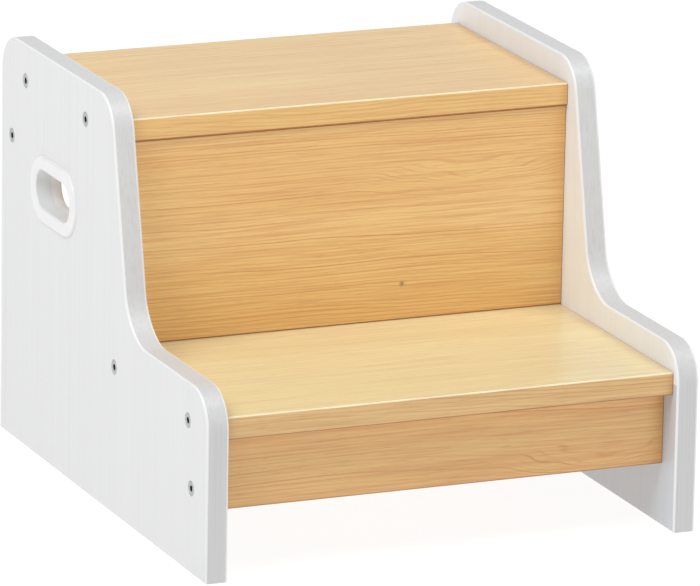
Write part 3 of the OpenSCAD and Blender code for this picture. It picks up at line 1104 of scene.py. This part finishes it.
class STOOL_OT_rails(bpy.types.Operator):
    """Plane the front apron and the rear rail"""

    bl_idname = "stool.rails"
    bl_label = "Apron and Rail"

    def execute(self, context):
        apron_wood = wood_material(
            "apron_wood", seed=(0.12, 0.66, 0.37), tint=(0.90, 0.97, 1.13),
            pith=(0.12, -0.22), ring_gap=1.7 * MM, contrast=0.90,
            figure=((0.112, -0.1705, 0.048), (0.075, 0.05, 0.017), 0.0080),
        )
        rail_wood = wood_material(
            "rail_wood", seed=(1.88, 0.27, 0.73), tint=(0.87, 0.91, 1.10),
            pith=(0.05, 0.52), ring_gap=1.7 * MM, contrast=0.90,
        )
        for node, place, material in (
            ("front_apron", "apron", apron_wood),
            ("rear_rail", "rear_rail", rail_wood),
        ):
            dowels = [f"dowel_{place}_{side}" for side in SIDES]
            make_board(node, both([place]), dowels, material)
        return {"FINISHED"}


class STOOL_OT_hand_grips(bpy.types.Operator):
    """Mould the rims and sleeves that line the hand holes"""

    bl_idname = "stool.hand_grips"
    bl_label = "Hand Grips"

    def execute(self, context):
        finish = settings()[1]
        rim = grip_material("grip_plastic", finish.grip)
        # Painted light: the inner halves' bluish white cancels the warm bounce from the wood.
        inner = grip_material("grip_plastic_inner", finish.grip_inner_light_tint)
        # Painted shade: the sleeves' plastic is darker.
        sleeve = grip_material("grip_plastic_sleeve", finish.grip_sleeve_shade)
        for side in SIDES:
            make_grip_half(side, "outer", rim, sleeve)
            make_grip_half(side, "inner", inner, inner)
        return {"FINISHED"}


class STOOL_OT_screws(bpy.types.Operator):
    """Turn one screw and put a copy in every screw hole"""

    bl_idname = "stool.screws"
    bl_label = "Screws"

    def execute(self, context):
        pattern = make_screw_pattern([steel_material(), socket_shade_material()])
        for place, side in both(SCREW_PLACES):
            place_screw(pattern, place, side)
        bpy.data.objects.remove(pattern)
        return {"FINISHED"}


class STOOL_OT_dowels(bpy.types.Operator):
    """Finish the frame's own dowels in bare hardwood"""

    bl_idname = "stool.dowels"
    bl_label = "Dowels"

    def execute(self, context):
        material = dowel_material()
        names = [f"dowel_{name}_{side}" for name, side in both(SIDE_DOWELS + TREAD_DOWELS)]
        for name in names:
            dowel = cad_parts[name]
            dowel.data.materials.clear()
            dowel.data.materials.append(material)
        return {"FINISHED"}


class STOOL_OT_stage(bpy.types.Operator):
    """Lay the floor, hang the lights and set up the camera"""

    bl_idname = "stool.stage"
    bl_label = "Stage"

    def execute(self, context):
        stage = settings()[2]
        self.lay_floor()
        self.hang_lights(stage)
        self.set_camera(stage)
        context.scene.view_settings.view_transform = "Standard"
        return {"FINISHED"}

    def lay_floor(self):
        clear_selection()
        bpy.ops.mesh.primitive_plane_add(size=40)
        floor = bpy.context.object
        floor.name = "floor"
        floor.data.materials.append(floor_material())

    def hang_lights(self, stage):
        world = bpy.data.worlds.new("studio")
        world.use_nodes = True
        sky = world.node_tree.nodes["Background"]
        sky.inputs["Color"].default_value = (1, 1, 1, 1)
        sky.inputs["Strength"].default_value = stage.sky
        bpy.context.scene.world = world
        for name, setting, place, spread in AREA_LIGHTS:
            clear_selection()
            turn = (LIGHTS_AIM - Vector(place)).to_track_quat("-Z", "Y").to_euler()
            bpy.ops.object.light_add(type="AREA", location=place, rotation=turn)
            light = bpy.context.object
            light.name = name
            light.data.shape = "RECTANGLE"
            light.data.size, light.data.size_y = spread
            light.data.energy = getattr(stage, setting)

    def set_camera(self, stage):
        target = Vector((stage.target_side, 0, stage.target_height))
        back = Vector((
            sin(stage.azimuth) * cos(stage.elevation),
            -cos(stage.azimuth) * cos(stage.elevation),
            sin(stage.elevation),
        ))
        clear_selection()
        bpy.ops.object.camera_add(location=target + back * stage.distance)
        camera = bpy.context.object
        look = (-back).to_track_quat("-Z", "Y").to_matrix()
        camera.rotation_euler = (look @ Matrix.Rotation(stage.roll, 3, "Z")).to_euler()
        camera.data.lens = stage.lens
        camera.data.clip_end = 60
        bpy.context.scene.camera = camera


class STOOL_PT_workshop(bpy.types.Panel):
    """Lists the stool's pieces and settings"""

    bl_idname = "STOOL_PT_workshop"
    bl_label = "Step Stool"
    bl_space_type = "VIEW_3D"
    bl_region_type = "UI"
    bl_category = "Stool"

    def draw(self, context):
        for operator in OPERATORS:
            self.layout.operator(operator.bl_idname)
        for group in settings():
            box = self.layout.box()
            for name in group.bl_rna.properties.keys():
                if name not in {"rna_type", "name"}:
                    box.prop(group, name)


OPERATORS = (
    STOOL_OT_stage, STOOL_OT_side_panels, STOOL_OT_treads, STOOL_OT_riser,
    STOOL_OT_rails, STOOL_OT_hand_grips, STOOL_OT_screws, STOOL_OT_dowels,
)
GROUPS = {"stool_shape": StoolShape, "stool_finish": StoolFinish, "stool_stage": StoolStage}


def register():
    for group_class in GROUPS.values():
        bpy.utils.register_class(group_class)
    for operator in (*OPERATORS, STOOL_PT_workshop):
        bpy.utils.register_class(operator)
    for name, group_class in GROUPS.items():
        setattr(bpy.types.Scene, name, PointerProperty(type=group_class))


def unregister():
    for name in GROUPS:
        delattr(bpy.types.Scene, name)
    for made in (*reversed(OPERATORS), STOOL_PT_workshop, *GROUPS.values()):
        bpy.utils.unregister_class(made)


def main():
    register()
    bpy.ops.stool.stage()
    bpy.ops.stool.side_panels()
    bpy.ops.stool.treads()
    bpy.ops.stool.riser()
    bpy.ops.stool.rails()
    bpy.ops.stool.hand_grips()
    bpy.ops.stool.screws()
    bpy.ops.stool.dowels()


if __name__ == "__main__":
    main()
